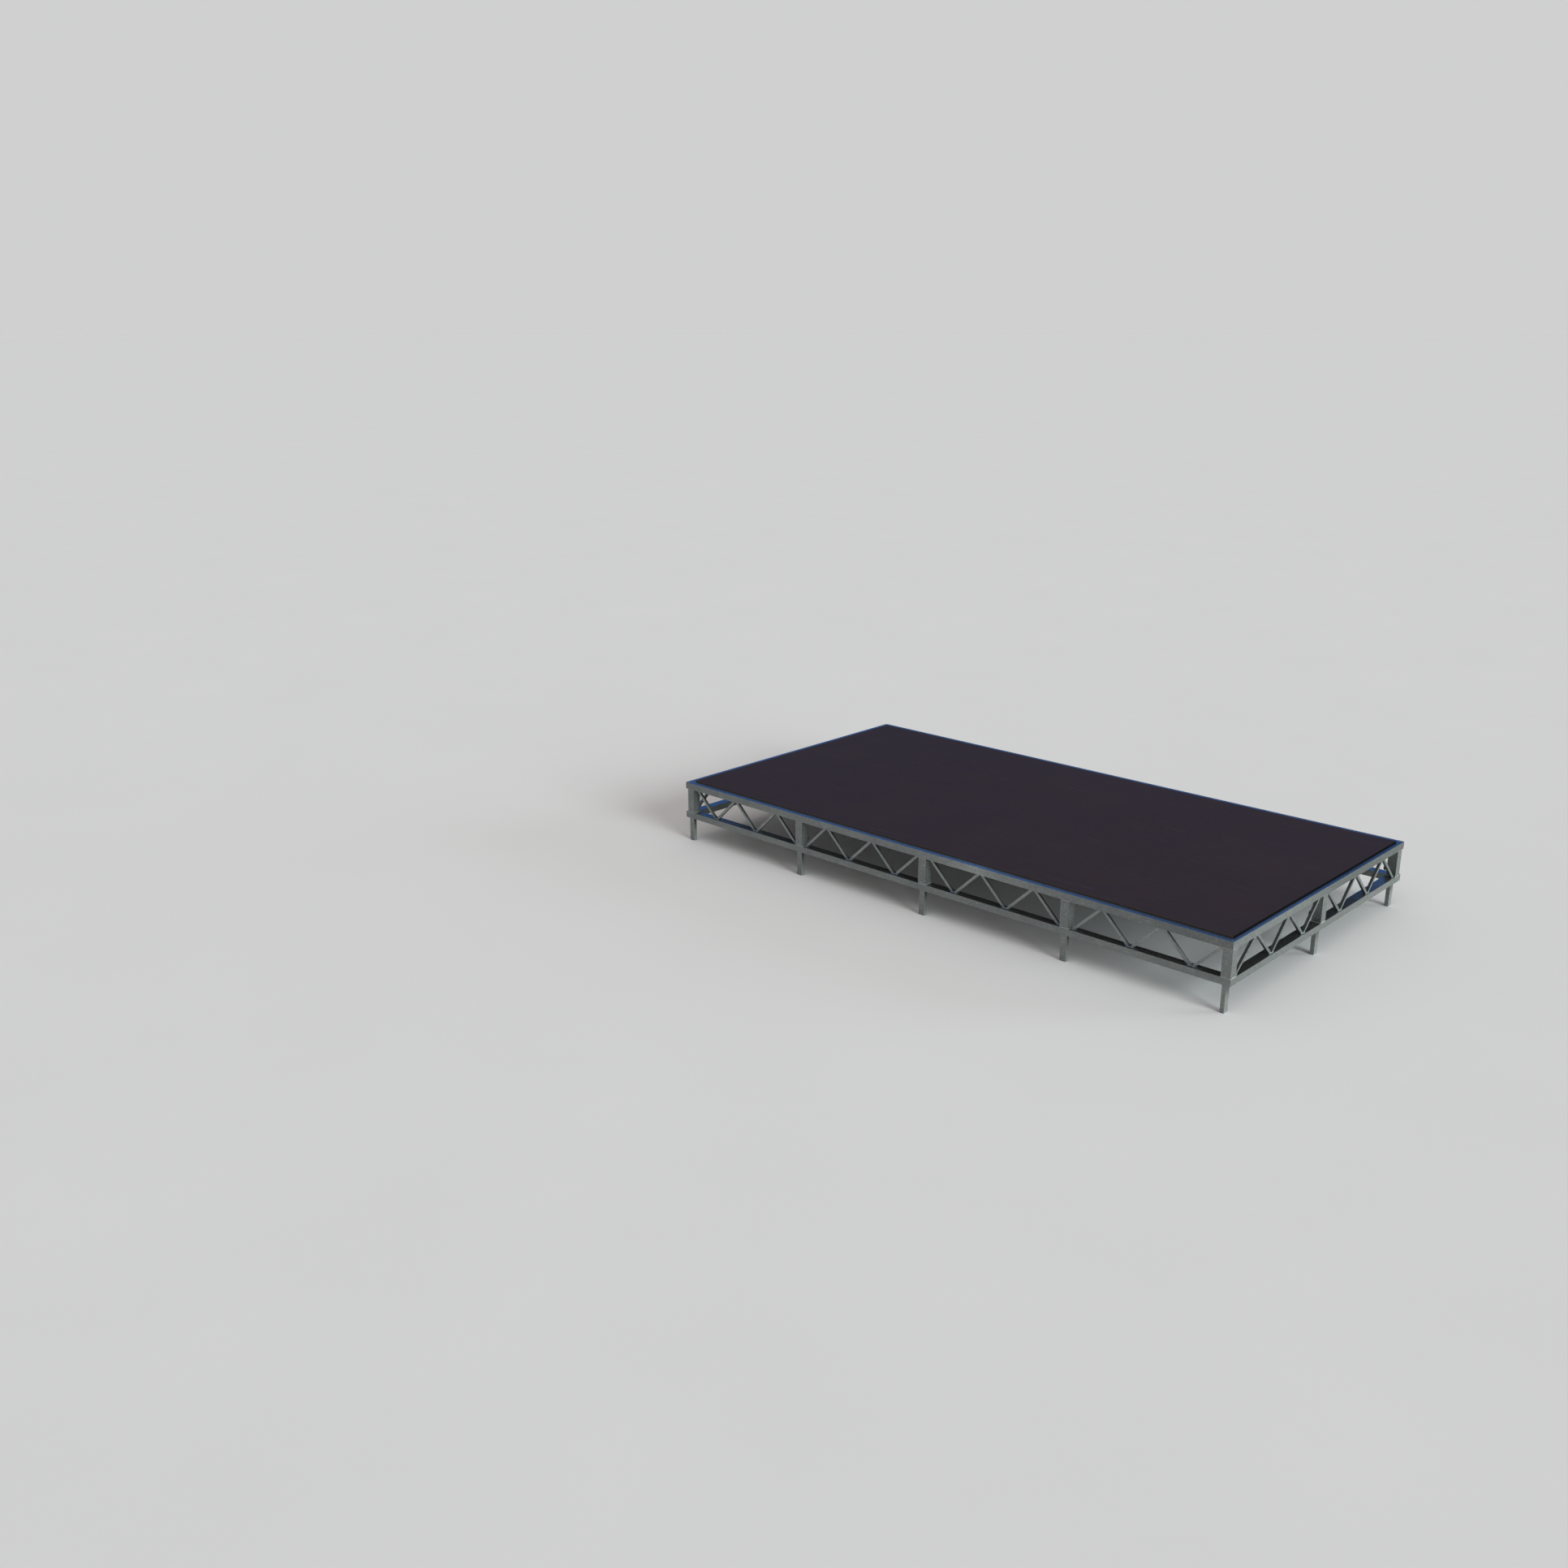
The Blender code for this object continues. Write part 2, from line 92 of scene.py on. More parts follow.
# --------------------------------------------------------------- materials
class Nodes:
    """Small helper for building node trees."""

    def __init__(self, name):
        self.mat = bpy.data.materials.new(name)
        self.mat.use_nodes = True
        self.nt = self.mat.node_tree
        self.nt.nodes.clear()
        self.out = self.nt.nodes.new("ShaderNodeOutputMaterial")
        self.bsdf = self.nt.nodes.new("ShaderNodeBsdfPrincipled")
        self.link(self.bsdf.outputs[0], self.out.inputs[0])
        self.tc = self.nt.nodes.new("ShaderNodeTexCoord")
        self.obj = self.tc.outputs["Object"]

    def link(self, a, b):
        self.nt.links.new(a, b)

    def put(self, sock, val):
        if isinstance(val, bpy.types.NodeSocket):
            self.link(val, sock)
        elif isinstance(val, (tuple, list)) and len(val) == 3 and sock.type == "RGBA":
            sock.default_value = (*val, 1.0)
        else:
            sock.default_value = val

    def mapping(self, scale=(1, 1, 1), rot=(0, 0, 0), src=None):
        n = self.nt.nodes.new("ShaderNodeMapping")
        n.inputs["Scale"].default_value = scale
        n.inputs["Rotation"].default_value = rot
        self.link(src or self.obj, n.inputs["Vector"])
        return n.outputs[0]

    def noise(self, scale, detail=3.0, rough=0.5, vec=None, distortion=0.0, color=False):
        n = self.nt.nodes.new("ShaderNodeTexNoise")
        n.inputs["Scale"].default_value = scale
        n.inputs["Detail"].default_value = detail
        n.inputs["Roughness"].default_value = rough
        n.inputs["Distortion"].default_value = distortion
        self.link(vec or self.obj, n.inputs["Vector"])
        return n.outputs["Color" if color else "Fac"]

    def voronoi(self, scale, feature="F1", out="Distance", vec=None, rand=1.0):
        n = self.nt.nodes.new("ShaderNodeTexVoronoi")
        n.feature = feature
        n.inputs["Scale"].default_value = scale
        n.inputs["Randomness"].default_value = rand
        self.link(vec or self.obj, n.inputs["Vector"])
        return n.outputs[out]

    def ramp(self, fac, stops, interp="LINEAR"):
        n = self.nt.nodes.new("ShaderNodeValToRGB")
        n.color_ramp.interpolation = interp
        els = n.color_ramp.elements
        while len(els) < len(stops):
            els.new(0.5)
        for e, (p, c) in zip(els, stops):
            e.position = p
            e.color = (c, c, c, 1) if isinstance(c, (int, float)) else (*c, 1)
        self.link(fac, n.inputs[0])
        return n.outputs[0]

    def mix(self, fac, a, b, kind="MIX"):
        n = self.nt.nodes.new("ShaderNodeMix")
        n.data_type = "RGBA"
        n.blend_type = kind
        self.put(n.inputs[0], fac)
        self.put(n.inputs[6], a)
        self.put(n.inputs[7], b)
        return n.outputs[2]

    def math(self, op, a, b=0.0, clamp=False):
        n = self.nt.nodes.new("ShaderNodeMath")
        n.operation = op
        n.use_clamp = clamp
        self.put(n.inputs[0], a)
        self.put(n.inputs[1], b)
        return n.outputs[0]

    def split(self, vec):
        n = self.nt.nodes.new("ShaderNodeSeparateXYZ")
        self.link(vec, n.inputs[0])
        return n.outputs

    def normal(self):
        n = self.nt.nodes.new("ShaderNodeNewGeometry")
        return n.outputs["True Normal"]

    def bump(self, height, strength=0.3, dist=0.001, normal=None):
        n = self.nt.nodes.new("ShaderNodeBump")
        n.inputs["Strength"].default_value = strength
        n.inputs["Distance"].default_value = dist
        self.link(height, n.inputs["Height"])
        if normal is not None:
            self.link(normal, n.inputs["Normal"])
        return n.outputs[0]

    def set(self, **kw):
        for k, v in kw.items():
            self.put(self.bsdf.inputs[k.replace("_", " ")], v)
        return self.mat


def alu(name, tone=1.0, along=(1, 1, 1), rough=0.43, speckle=1.0, light_along=None, bay_light=None, dirt=0.60,
        side_light=None):
    """Mill-finish aluminium tube, weathered dull: fine pitting, pale worn specks, drawn lines, handling marks and grime
    near the ground. Painted shade darkens the upward faces of the bottom chords; options add painted light and shade
    along the tube, in the bays and on the sides of the legs."""
    m = Nodes(name)
    base = (0.251 * tone, 0.262 * tone, 0.241 * tone)
    dark = tuple(c * 0.52 for c in base)
    pale = tuple(min(1, c * 1.55) for c in base)
    spk = m.ramp(m.noise(260, 3.0, 0.65), [(0.40, 0.0), (0.60, 1.0)])
    pit = m.ramp(m.noise(95, 4.0, 0.7), [(0.50, 0.0), (0.66, 1.0)])
    cellv = m.split(m.voronoi(150, out="Color"))[0]
    blotch = m.noise(5.0, 5.0, 0.62)
    col = m.mix(m.math("MULTIPLY", spk, 0.42 * speckle), base, dark)
    col = m.mix(m.math("MULTIPLY", m.math("POWER", cellv, 3.0), 0.65 * speckle), col, pale)
    col = m.mix(m.math("MULTIPLY", pit, 0.62 * speckle), col, tuple(c * 0.50 for c in base))
    col = m.mix(m.ramp(blotch, [(0.42, 0.0), (0.72, 0.40)]), col, tuple(c * 0.72 for c in base))
    # grime near the ground and streaks of handling dirt
    z = m.split(m.obj)[2]
    low = m.ramp(z, [(0.0, dirt), (0.12, 0.0)])
    grime = m.math("MULTIPLY", low, m.ramp(m.noise(30, 4.0, 0.65), [(0.35, 0.0), (0.65, 1.0)]))
    col = m.mix(grime, col, (0.10, 0.09, 0.078))
    # painted shade in noisy patches on the upward faces of the bottom chords, below the deck, which are otherwise
    # smooth; rougher and less metallic there too
    up = m.ramp(m.split(m.normal())[2], [(0.60, 0.0), (0.80, 1.0)])
    inside = m.ramp(z, [(0.270, 1.0), (0.300, 0.0)])
    chord_top_shade = m.math("MULTIPLY", m.math("MULTIPLY", up, inside), m.ramp(m.noise(60, 5.0, 0.75), [(0.50, 0.0), (0.75, 0.30)]))
    col = m.mix(chord_top_shade, col, (0.030, 0.029, 0.028))
    # drawn lines along the tube
    lines = m.noise(1.0, 2.0, 0.5, vec=m.mapping(scale=along))
    col = m.mix(m.math("MULTIPLY", m.ramp(lines, [(0.42, 0.0), (0.62, 1.0)]), 0.16), col, dark)
    scr = m.ramp(m.noise(55.0, 2.0, 0.5, vec=m.mapping(scale=(1, 7, 7), rot=(0.3, 0.5, 0.2)), distortion=0.4),
                 [(0.66, 0.0), (0.70, 1.0)])
    col = m.mix(m.math("MULTIPLY", scr, 0.35), col, pale)
    if light_along:
        # painted light and shade: stretches painted brighter or darker along the tube, as (axis, half length, [(metres,
        # factor), ...])
        axis, half, stops = light_along
        pos = m.math("ADD", m.math("MULTIPLY", m.split(m.obj)[axis], 0.5 / half), 0.5)
        pos = m.math("ADD", pos, m.math("MULTIPLY", m.math("SUBTRACT", m.noise(7.0, 3.0, 0.6), 0.5), 0.05))
        lvl = m.ramp(pos, [(0.5 + v / (2 * half), f / 2) for v, f in stops])
        col = m.mix(1.0, m.mix(1.0, col, (2, 2, 2), "MULTIPLY"), lvl, "MULTIPLY")
    if bay_light:
        # painted light: bars and post sides inside the bays painted brighter than the outer faces
        axis, limit = bay_light
        deep = m.ramp(m.math("MULTIPLY", m.math("ABSOLUTE", m.split(m.obj)[axis]), 0.4),
                      [((limit - 0.016) * 0.4, 1.0), ((limit - 0.004) * 0.4, 0.0)])
        band = m.ramp(z, [(0.2495, 0.0), (0.2520, 1.0), (0.4475, 1.0), (0.4500, 0.0)])
        col = m.mix(m.math("MULTIPLY", deep, band), col, m.mix(1.0, col, (1.24, 1.24, 1.24), "MULTIPLY"))
    if side_light:
        # painted shadow and light on the narrow sides of the legs: the bottom chord's shadow painted at the top,
        # painted light below it
        side = m.ramp(m.math("ABSOLUTE", m.split(m.normal())[0]), [(0.55, 0.0), (0.80, 1.0)])
        lvl = m.ramp(m.math("ADD", z, m.math("MULTIPLY", m.math("SUBTRACT", m.noise(18.0, 3.0, 0.6), 0.5), 0.03)),
                     [(v, f / 2) for v, f in side_light])
        col = m.mix(side, col, m.mix(1.0, m.mix(1.0, col, (2, 2, 2), "MULTIPLY"), lvl, "MULTIPLY"))
    r = m.math("ADD", rough, m.math("MULTIPLY", m.math("SUBTRACT", blotch, 0.5), 0.22))
    r = m.math("ADD", r, m.math("MULTIPLY", spk, 0.10))
    ring = m.math("MULTIPLY", up, m.ramp(z, [(0.270, 1.0), (0.300, 0.0), (0.470, 0.0), (0.490, 1.0)]))
    r = m.math("SUBTRACT", r, m.math("MULTIPLY", ring, 0.17))
    r = m.math("ADD", r, m.math("MULTIPLY", m.math("MAXIMUM", grime, chord_top_shade), 0.35), clamp=True)
    h = m.math("ADD", m.math("MULTIPLY", spk, 0.5), m.math("MULTIPLY", lines, 0.6))
    h = m.math("SUBTRACT", h, m.math("MULTIPLY", pit, 0.6))
    h = m.math("SUBTRACT", h, m.math("MULTIPLY", scr, 0.5))
    nrm = m.bump(h, 0.45, 0.0003)
    m.set(Base_Color=col, Roughness=r, Normal=nrm, Metallic=m.math("SUBTRACT", 0.96, m.math("MULTIPLY", chord_top_shade, 0.92)))
    m.bsdf.inputs["Specular IOR Level"].default_value = 0.10
    return m.mat


def deck_material(name):
    """Film-faced plywood: dark phenolic film with a fine wire-mesh pattern on the faces, layered birch edges in chipped
    dark paint at the front and back, and near-black left and right edges as painted shade."""
    m = Nodes(name)
    n = m.split(m.normal())
    flat = m.ramp(m.math("ABSOLUTE", n[2]), [(0.45, 0.0), (0.55, 1.0)])
    p = m.split(m.obj)
    # anti-slip mesh, 5 mm pitch
    pitch = 2 * math.pi / 0.005
    wx = m.math("SINE", m.math("MULTIPLY", p[0], pitch))
    wy = m.math("SINE", m.math("MULTIPLY", p[1], pitch))
    mesh = m.math("MULTIPLY", wx, wy)
    big = m.noise(0.9, 5.0, 0.6)
    fine = m.noise(700, 3.0, 0.65)
    mott = m.noise(24, 5.0, 0.65)
    dust = m.ramp(m.noise(2.2, 6.0, 0.65, distortion=0.6), [(0.46, 0.0), (0.82, 1.0)])
    streak = m.ramp(m.noise(6.0, 5.0, 0.6, vec=m.mapping(scale=(0.35, 2.6, 1), rot=(0, 0, 0.5)), distortion=1.2),
                    [(0.60, 0.0), (0.72, 1.0)])
    scuff = m.ramp(m.noise(16.0, 2.0, 0.5, vec=m.mapping(scale=(1.0, 9.0, 1), rot=(0, 0, -0.7)), distortion=0.6),
                   [(0.70, 0.0), (0.73, 1.0)])
    film = m.mix(big, (0.0278, 0.0142, 0.0146), (0.0336, 0.0188, 0.0188))
    film = m.mix(m.math("MULTIPLY", m.ramp(mott, [(0.35, 0.0), (0.70, 1.0)]), 0.30), film, (0.018, 0.0135, 0.017))
    film = m.mix(m.math("MULTIPLY", dust, 0.20), film, (0.050, 0.042, 0.043))
    film = m.mix(m.math("MULTIPLY", streak, 0.12), film, (0.060, 0.051, 0.052))
    film = m.mix(m.math("MULTIPLY", scuff, 0.16), film, (0.075, 0.066, 0.066))
    film = m.mix(m.math("MULTIPLY", m.ramp(fine, [(0.4, 0.0), (0.7, 1.0)]), 0.22), film, (0.040, 0.033, 0.035))
    # plywood edge: thin plies, painted dark and chipped back to the wood at the front and back; the left and right
    # edges are near-black as painted shade
    ply = m.math("SINE", m.math("MULTIPLY", p[2], 2 * math.pi / 0.0024))
    plyc = m.mix(m.ramp(ply, [(0.40, 0.0), (0.60, 1.0)]), (0.040, 0.024, 0.015), (0.115, 0.072, 0.042))
    grain = m.noise(60, 4.0, 0.6, vec=m.mapping(scale=(1, 1, 40)))
    plyc = m.mix(m.math("MULTIPLY", grain, 0.5), plyc, (0.030, 0.019, 0.014))
    chip = m.ramp(m.noise(85, 4.0, 0.7), [(0.54, 0.0), (0.64, 1.0)])
    # painted shade: the left and right deck edges near-black, the front and back edges chipped dark paint
    front_back_edge = m.ramp(m.math("ABSOLUTE", n[0]), [(0.45, 1.0), (0.55, 0.0)])
    bare = m.mix(chip, (0.056, 0.047, 0.050), plyc)
    side_edge_shade = m.mix(m.math("MULTIPLY", chip, 0.06), (0.0040, 0.0040, 0.0050), plyc)
    edge = m.mix(front_back_edge, side_edge_shade, bare)
    col = m.mix(flat, edge, film)
    r = m.math("ADD", 0.66, m.math("MULTIPLY", dust, 0.14))
    r = m.math("SUBTRACT", r, m.math("MULTIPLY", streak, 0.08))
    r = m.math("ADD", r, m.math("MULTIPLY", fine, 0.08), clamp=True)
    hm = m.math("MULTIPLY", m.math("MULTIPLY", mesh, flat), 0.5)
    h = m.math("ADD", hm, m.math("MULTIPLY", fine, 0.5))
    m.set(Base_Color=col, Roughness=r, Normal=m.bump(h, 0.45, 0.0003))
    m.bsdf.inputs["Specular IOR Level"].default_value = 0.14
    return m.mat


def cap_material(name):
    """Cast aluminium foot cap: grainy skin, scuffed and dirty underneath, with painted light on the sides facing left
    and right.
    """
    m = Nodes(name)
    n1 = m.noise(420, 3.0, 0.65)
    n2 = m.noise(60, 4.0, 0.65)
    z = m.split(m.obj)[2]
    col = m.mix(m.ramp(n1, [(0.35, 0.0), (0.65, 1.0)]), (0.295, 0.302, 0.290), (0.175, 0.176, 0.170))
    worn = m.math("MULTIPLY", m.ramp(z, [(0.0, 1.0), (0.012, 0.0)]), m.ramp(n2, [(0.40, 0.2), (0.60, 1.0)]))
    # painted light: the sides facing left and right painted lighter
    side = m.ramp(m.math("ABSOLUTE", m.split(m.normal())[0]), [(0.55, 0.0), (0.80, 1.0)])
    col = m.mix(side, col, m.mix(1.0, col, (1.20, 1.20, 1.20), "MULTIPLY"))
    col = m.mix(m.math("MULTIPLY", worn, 0.35), col, (0.085, 0.078, 0.070))
    r = m.math("ADD", 0.46, m.math("MULTIPLY", n2, 0.25))
    r = m.math("ADD", r, m.math("MULTIPLY", worn, 0.2), clamp=True)
    m.set(Base_Color=col, Roughness=r, Normal=m.bump(m.math("ADD", n1, n2), 0.5, 0.0004))
    m.bsdf.inputs["Metallic"].default_value = 0.85
    return m.mat


def plastic_material(name):
    m = Nodes(name)
    g = m.noise(1600, 2.0, 0.5)
    big = m.noise(40, 3.0, 0.5)
    col = m.mix(big, (0.012, 0.012, 0.013), (0.026, 0.026, 0.028))
    r = m.math("ADD", 0.38, m.math("MULTIPLY", big, 0.22))
    m.set(Base_Color=col, Roughness=r, Normal=m.bump(g, 0.35, 0.0002))
    return m.mat


def steel_material(name):
    m = Nodes(name)
    n1 = m.noise(260, 3.0, 0.6)
    col = m.mix(m.ramp(n1, [(0.3, 0.0), (0.8, 1.0)]), (0.50, 0.50, 0.49), (0.33, 0.32, 0.29))
    spot = m.ramp(m.noise(120, 3.0, 0.7), [(0.68, 0.0), (0.74, 1.0)])
    col = m.mix(m.math("MULTIPLY", spot, 0.5), col, (0.16, 0.085, 0.045))
    r = m.math("ADD", 0.26, m.math("MULTIPLY", n1, 0.28))
    m.set(Base_Color=col, Roughness=r, Normal=m.bump(n1, 0.25, 0.0002))
    m.bsdf.inputs["Metallic"].default_value = 1.0
    return m.mat


def weld_material(name):
    m = Nodes(name)
    n1 = m.noise(500, 3.0, 0.6)
    n2 = m.noise(45, 3.0, 0.6)
    col = m.mix(n2, (0.62, 0.60, 0.53), (0.42, 0.40, 0.35))
    r = m.math("ADD", 0.40, m.math("MULTIPLY", n1, 0.25))
    m.set(Base_Color=col, Roughness=r, Normal=m.bump(n1, 0.4, 0.0003))
    m.bsdf.inputs["Metallic"].default_value = 0.55
    return m.mat


# ALU_X: bars and post sides in the bays painted brighter, as painted light
ALU_X = alu("alu_tube_x_painted_bay_light", 1.0, along=(0.8, 260, 260), bay_light=(1, WIDTH / 2))
ALU_Y = alu("alu_tube_y", 1.0, along=(260, 0.8, 260))
# ALU_FRONT and ALU_RIGHT: painted light and shade along the top chords
ALU_FRONT = alu("alu_top_chord_front_painted_light", 1.0, along=(0.8, 260, 260), light_along=(0, LENGTH / 2, [
    (-2.5, 0.93), (-1.2, 0.99), (0.0, 1.02), (0.28, 1.16), (0.52, 1.50), (0.76, 1.14), (1.2, 0.99), (1.7, 0.90),
    (2.2, 0.80), (2.5, 0.79)]))
ALU_RIGHT = alu("alu_top_chord_right_painted_light", 1.0, along=(260, 0.8, 260), light_along=(1, WIDTH / 2, [
    (-1.3, 1.02), (-0.7, 1.05), (-0.3, 0.98), (0.05, 0.76), (0.40, 0.66), (0.9, 0.68), (1.3, 0.70)]))
# ALU_Z: painted shadow high on the leg sides, painted light low down
ALU_Z = alu("alu_leg", 1.04, along=(300, 300, 1.0), rough=0.34, dirt=0.25, side_light=[
    (0.0, 1.66), (0.085, 1.54), (0.120, 1.24), (0.150, 0.86), (0.175, 0.60), (0.210, 0.52)])
ALU_J = alu("alu_joist", 0.92, along=(260, 0.8, 260), rough=0.42)
DECK = deck_material("deck_film")
CAP = cap_material("foot_cap_cast")
PLASTIC = plastic_material("knob_plastic")
STEEL = steel_material("zinc_steel")
WELD = weld_material("weld_bead")


def screw_material(name):
    """Black-finished screw steel, worn at the rim of the recess."""
    m = Nodes(name)
    n1 = m.noise(700, 3.0, 0.6)
    n2 = m.noise(170, 3.0, 0.65)
    col = m.mix(n1, (0.026, 0.021, 0.023), (0.048, 0.042, 0.043))
    worn = m.ramp(n2, [(0.60, 0.0), (0.72, 1.0)])
    col = m.mix(m.math("MULTIPLY", worn, 0.35), col, (0.16, 0.155, 0.15))
    r = m.math("ADD", 0.46, m.math("MULTIPLY", n1, 0.25))
    m.set(Base_Color=col, Roughness=r, Normal=m.bump(n1, 0.3, 0.0002))
    m.bsdf.inputs["Metallic"].default_value = 0.6
    return m.mat


SCREW = screw_material("black_screw")


def dark_strip_material(name):
    """Black strip standing in for the shaded band along the short deck edges, as painted shade: dull like rubber,
    faintly bloomed and dusty.
    """
    m = Nodes(name)
    n1 = m.noise(900, 3.0, 0.6)
    n2 = m.noise(38, 4.0, 0.65)
    col = m.mix(n1, (0.0030, 0.0030, 0.0036), (0.0052, 0.0052, 0.0060))
    col = m.mix(m.math("MULTIPLY", m.ramp(n2, [(0.52, 0.0), (0.74, 1.0)]), 0.12), col, (0.016, 0.016, 0.018))
    r = m.math("ADD", 0.74, m.math("MULTIPLY", n2, 0.20), clamp=True)
    m.set(Base_Color=col, Roughness=r, Normal=m.bump(n1, 0.35, 0.0002))
    m.bsdf.inputs["Specular IOR Level"].default_value = 0.02
    return m.mat


SHADE_STRIP_MAT = dark_strip_material("edge_strip_painted_shade")


def dress(ob, mat):
    ob.data.materials.clear()
    ob.data.materials.append(mat)
    for p in ob.data.polygons:
        p.material_index = 0


def soften(ob, width, segments=2, angle=35, join=0.01 * MM, clamp=True,
           measure="OFFSET"):
    """Rounded tube corners on a CAD node, by modifiers only: coincident
    corners joined, flat areas merged, then the edges rounded."""
    if join:
        w = ob.modifiers.new("join", "WELD")
        w.merge_threshold = join
        d = ob.modifiers.new("merge_flats", "DECIMATE")
        d.decimate_type = "DISSOLVE"
        d.angle_limit = math.radians(0.4)
    b = ob.modifiers.new("round", "BEVEL")
    b.offset_type = measure
    b.width = width
    b.segments = segments
    b.limit_method = "ANGLE"
    b.angle_limit = math.radians(angle)
    b.use_clamp_overlap = clamp
    b.harden_normals = False
    b.miter_outer = "MITER_SHARP"
    if join:
        # plain flat shading normals on the large faces again
        n = ob.modifiers.new("face_normals", "WEIGHTED_NORMAL")
        n.mode = "FACE_AREA"
        n.weight = 100
        n.keep_sharp = False


for name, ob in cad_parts.items():
    if name.startswith("top_chord_") or name.startswith("truss_"):
        dress(ob, {"top_chord_front": ALU_FRONT, "top_chord_right": ALU_RIGHT}.get(
            name, ALU_X if name.endswith(("front", "back")) else ALU_Y))
        if name.startswith("top_chord_"):
            soften(ob, 1.7 * MM, clamp=False, measure="WIDTH")
    elif name.startswith("cross_joist"):
        dress(ob, ALU_J)
        soften(ob, 1.2 * MM)
    elif name.startswith("leg_"):
        dress(ob, ALU_Z)
        soften(ob, 1.5 * MM)
    elif name.startswith("foot_"):
        dress(ob, CAP)
        soften(ob, 0.8 * MM)
    elif name.startswith("deck_panel"):
        dress(ob, DECK)
    elif name.startswith("clamp_"):
        dress(ob, PLASTIC)

# ------------------------------------------------------------------ helpers
pieces_coll = bpy.data.collections.new("pieces")
scene.collection.children.link(pieces_coll)


def mesh_piece(name, bm, mats, body, smooth=False):
    me = bpy.data.meshes.new(name)
    bm.normal_update()
    bm.to_mesh(me)
    bm.free()
    for m in mats:
        me.materials.append(m)
    if smooth:
        for p in me.polygons:
            p.use_smooth = True
    ob = bpy.data.objects.new(name, me)
    pieces_coll.objects.link(ob)
    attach(ob, body)
    return ob


def placed(side, x, y, z):
    if side == 0:
        return Vector((X0 + x, Y0 + y, z))
    if side == 2:
        return Vector((X0 + x, -Y0 - y, z))
    if side == 1:
        return Vector((-X0 - y, Y0 + x, z))
    return Vector((X0 + y, Y0 + x, z))


def frame_of(axis):
    axis = Vector(axis).normalized()
    return axis.to_track_quat("Z", "Y").to_matrix()


# ------------------------------------------------------------- weld beads
def bead(bm, pts, r=2.1 * MM, closed=False, pitch=2.6 * MM, sides=6):
    """A rippled weld bead along a polyline, as a closed tube."""
    path = []
    n = len(pts)
    segs = n if closed else n - 1
    for i in range(segs):
        a, b = Vector(pts[i]), Vector(pts[(i + 1) % n])
        L = (b - a).length
        k = max(1, int(round(L / pitch)))
        for j in range(k):
            path.append(a.lerp(b, j / k))
    if not closed:
        path.append(Vector(pts[-1]))
    m = len(path)
    rings = []
    for i, p in enumerate(path):
        if closed:
            t = (path[(i + 1) % m] - path[i - 1]).normalized()
        else:
            t = (path[min(i + 1, m - 1)] - path[max(i - 1, 0)]).normalized()
        u = t.orthogonal().normalized() if abs(t.z) > 0.9 else Vector((0, 0, 1)).cross(t).normalized()
        w = t.cross(u).normalized()
        rr = r * (0.86 + 0.16 * (i % 2) + rng.uniform(-0.07, 0.07))
        if not closed and i in (0, m - 1):
            rr *= 0.55
        rings.append([bm.verts.new(p + (u * math.cos(2 * math.pi * s / sides) + w * math.sin(2 * math.pi * s / sides)) * rr)
                      for s in range(sides)])
    for i in range(m if closed else m - 1):
        a, b = rings[i], rings[(i + 1) % m]
        for s in range(sides):
            bm.faces.new((a[s], a[(s + 1) % sides], b[(s + 1) % sides], b[s]))
    if not closed:
        bm.faces.new(list(reversed(rings[0])))
        bm.faces.new(rings[-1])


long_bays = [(POST_X[i] + POST, POST_X[i + 1], "top" if i % 2 == 0 else "bot",
              0.024 if i == 3 else 0.020, 0.002 if i == 3 else 0.026, 0.024 if i == 3 else 0.020)
             for i in range(4)]
right_bays = [(POST_SET + POST, SIDE_MID_Y, "bot", 0.058, 0.018, 0.018),
              (SIDE_MID_Y + POST, FAR_Y, "top", 0.038, 0.016, 0.038)]
left_bays = [(POST_SET + POST, SIDE_MID_Y, "bot", 0.058, 0.018, 0.018),
             (SIDE_MID_Y + POST, WIDTH - POST_SET - POST, "top", 0.038, 0.016, 0.038)]
LATTICE = [(long_bays, BAR_LONG), (right_bays, BAR_SIDE), (long_bays, BAR_LONG), (left_bays, BAR_SIDE)]

for side, word in enumerate(SIDES):
    bm = bmesh.new()
    for name, px, py, wide, d, owner in STATIONS:
        if owner != side:
            continue
        for z in (BOT_TOP + 0.2 * MM, TOP_Z - 0.2 * MM):
            q = 0.2 * MM
            pts = [(px - q, py - q, z), (px + POST + q, py - q, z),
                   (px + POST + q, py + POST + q, z), (px - q, py + POST + q, z)]
            bead(bm, pts, closed=True)
        # round the clamp boss
        D = Vector((d[0], d[1], 0))
        c = clamp_seat(px, py, wide, d) + D * 0.3 * MM
        R = frame_of(D)
        bead(bm, [c + R @ Vector((12.2 * MM * math.cos(a), 12.2 * MM * math.sin(a), 0))
                  for a in [2 * math.pi * k / 20 for k in range(20)]], r=1.6 * MM, closed=True)
    bays, face_in = LATTICE[side]
    for start, end, first, e0, e1, e_first in bays:
        at_top = first == "top"
        gaps = [(NODE_BOT if at_top else NODE_TOP) if k % 2 == 0 else
                (NODE_TOP if at_top else NODE_BOT) for k in range(4)]
        run = (end - start - e0 - e1 - sum(gaps)) / 5
        s = start + e0
        for k in range(5):
            sa, sb = (start + e_first if k == 0 else s), s + run
            half = BAR / math.sin(math.atan2(TOP_Z - BOT_TOP, sb - sa)) / 2
            for x, z in ((sa, TOP_Z if at_top else BOT_TOP), (sb, BOT_TOP if at_top else TOP_Z)):
                zz = z + (0.3 * MM if z < 0.3 else -0.3 * MM)
                for y in (face_in - 0.2 * MM, face_in + BAR + 0.2 * MM):
                    bead(bm, [placed(side, x - half, y, zz),
                              placed(side, min(x + half, end - 2.4 * MM), y, zz)], r=1.9 * MM)
            if k < 4:
                s = sb + gaps[k]
            at_top = not at_top
    mesh_piece("weld_beads_" + word, bm, [WELD], "frame", smooth=True)

